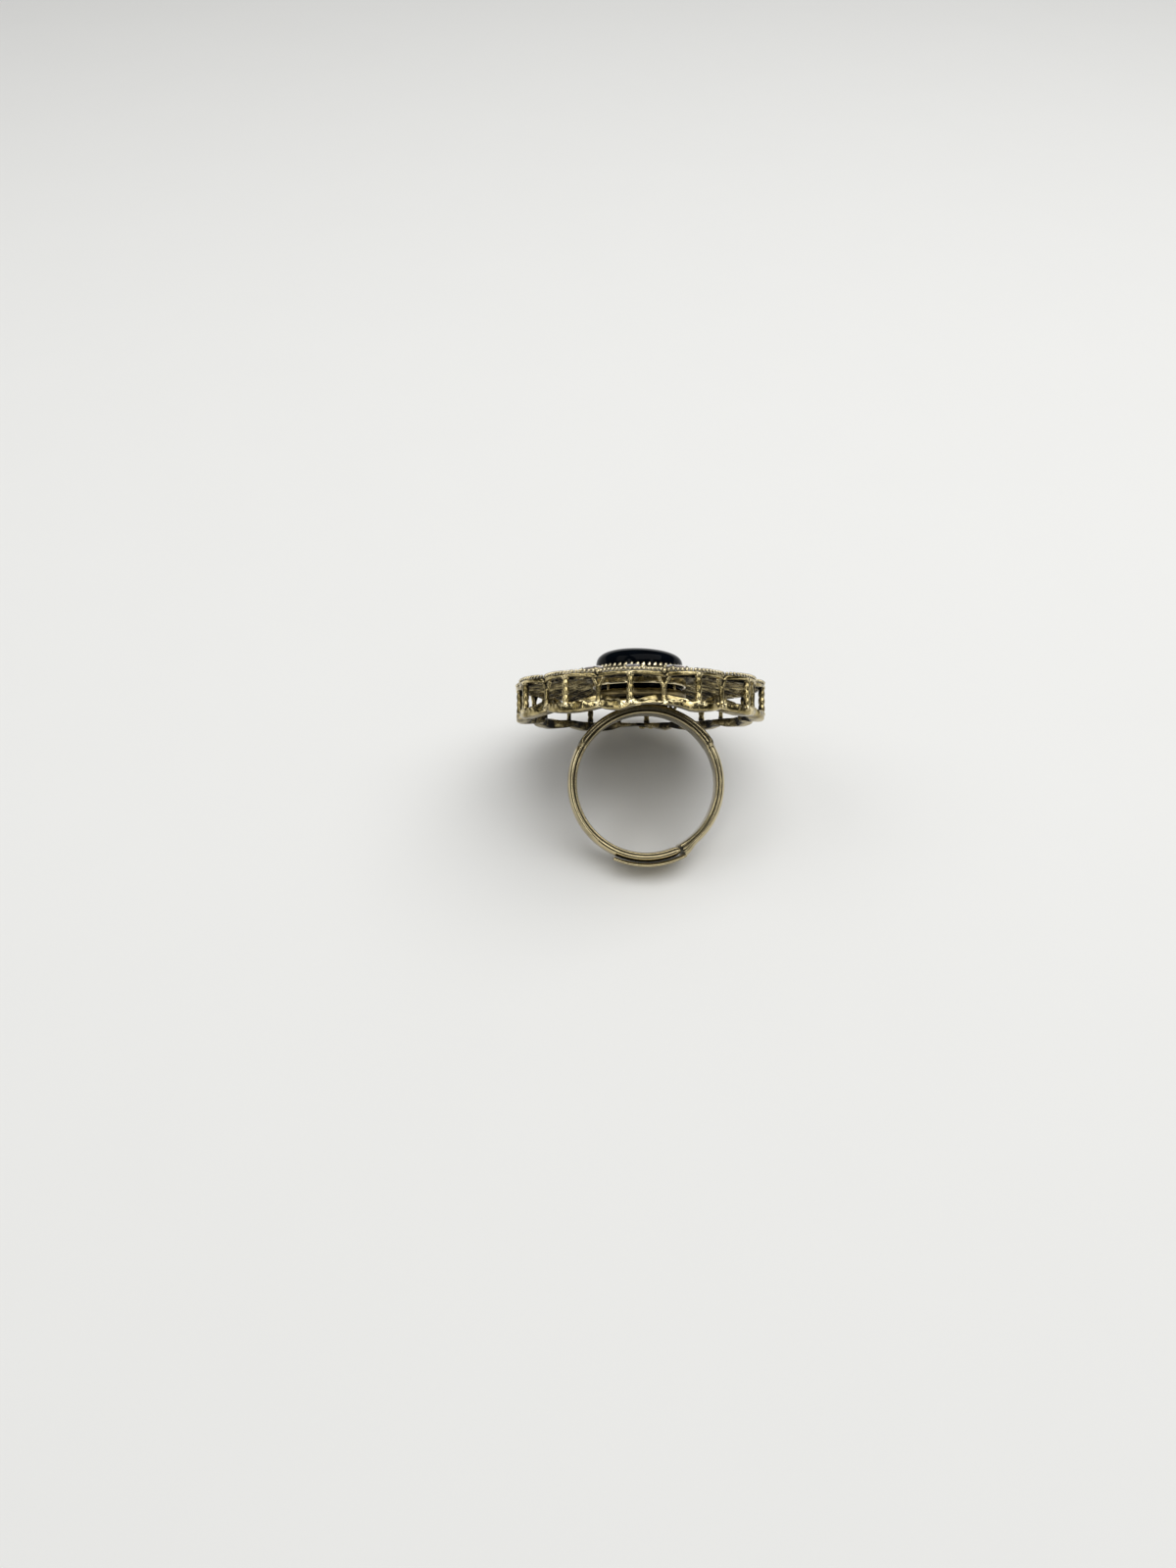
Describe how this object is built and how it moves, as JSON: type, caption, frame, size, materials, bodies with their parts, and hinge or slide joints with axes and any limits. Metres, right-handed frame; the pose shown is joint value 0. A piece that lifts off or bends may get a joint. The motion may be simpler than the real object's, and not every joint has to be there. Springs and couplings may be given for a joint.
{
  "type": "cocktail ring",
  "caption": "Adjustable cocktail ring with a round flower head, an openwork gallery, a tall black cabochon and a split overlapping band.",
  "frame": {"origin": "centre of the finger hole, in the middle of the band's width", "axes": "+Z from the finger hole to the head and its centre stone; Y along the finger; X across the finger"},
  "size_m": [0.031, 0.031, 0.0272],
  "materials": {
    "head_metal": "antique gold plate, dark patina in the recesses, burnished high spots",
    "band_metal": "smooth antique gold plate, polished by wear",
    "solder": "dark soldered joint",
    "cabochon": "opaque glossy black with a slight navy cast",
    "accent_glass": "faceted foil-backed glass, smoky clear"
  },
  "bodies": {
    "root": {"back_frame": "head_metal", "forked_posts": "head_metal", "beaded_posts": "head_metal", "front_rosette": "head_metal", "ball_beads": "head_metal", "collar": "head_metal", "bezel": "head_metal", "cabochon": "cabochon", "stone_seat": "head_metal", "seat_stays": "head_metal", "seat_bridge": "head_metal", "solder_saddle": "solder", "shank_crown": "band_metal", "accent_collet_01": "head_metal", "accent_collet_02": "head_metal", "accent_collet_03": "head_metal", "accent_collet_04": "head_metal", "accent_collet_05": "head_metal", "accent_collet_06": "head_metal", "accent_collet_07": "head_metal", "accent_collet_08": "head_metal", "accent_collet_09": "head_metal", "accent_collet_10": "head_metal", "accent_collet_11": "head_metal", "accent_collet_12": "head_metal", "accent_stone_01": "accent_glass", "accent_stone_02": "accent_glass", "accent_stone_03": "accent_glass", "accent_stone_04": "accent_glass", "accent_stone_05": "accent_glass", "accent_stone_06": "accent_glass", "accent_stone_07": "accent_glass", "accent_stone_08": "accent_glass", "accent_stone_09": "accent_glass", "accent_stone_10": "accent_glass", "accent_stone_11": "accent_glass", "accent_stone_12": "accent_glass"},
    "left_leg": {"shank_left": "band_metal"},
    "right_leg": {"shank_right": "band_metal"}
  },
  "joints": [
    {"name": "band_open", "type": "hinge", "parent": "root", "child": "left_leg", "pos_m": [-0.0092, 0, 0], "axis": [0, 1, 0], "range_deg": [0, 15]},
    {"name": "band_open_right", "type": "hinge", "parent": "root", "child": "right_leg", "pos_m": [0.0092, 0, 0], "axis": [0, -1, 0], "range_deg": [0, 15]}
  ],
  "couplings": [
    {"joint": "band_open_right", "follows": "band_open", "ratio": 1}
  ]
}
